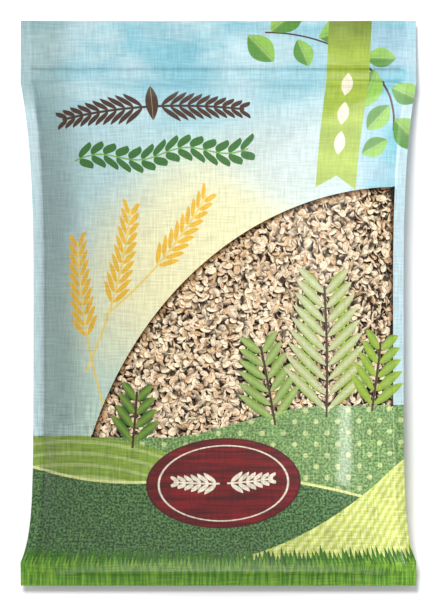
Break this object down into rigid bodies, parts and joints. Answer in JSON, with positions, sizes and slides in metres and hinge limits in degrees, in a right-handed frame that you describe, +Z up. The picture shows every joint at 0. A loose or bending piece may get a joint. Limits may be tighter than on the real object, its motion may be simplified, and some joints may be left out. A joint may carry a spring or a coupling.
{
  "type": "bag of rolled oats",
  "caption": "Flat resealable pouch filled with rolled oats, lying on its back, with a large clear window in its printed front, heat-sealed edges and a press-to-close zip.",
  "frame": {"origin": "on the surface that the pouch lies on, under the middle of its length and width", "axes": "+X across the pouch to the right as its front is read, +Y along it from the bottom seal to the zip end, +Z up out of the printed front"},
  "size_m": [0.305, 0.436, 0.0676],
  "materials": {
    "printed_film": "satin laminated film, printed in pale turquoise with green fields",
    "clear_film": "thin clear plastic film, glossy",
    "oats": "dry, matt, floury rolled flakes of cream and tan"
  },
  "bodies": {
    "root": {"pouch": "printed_film", "clear_window": "clear_film", "oats": "oats"}
  },
  "joints": []
}
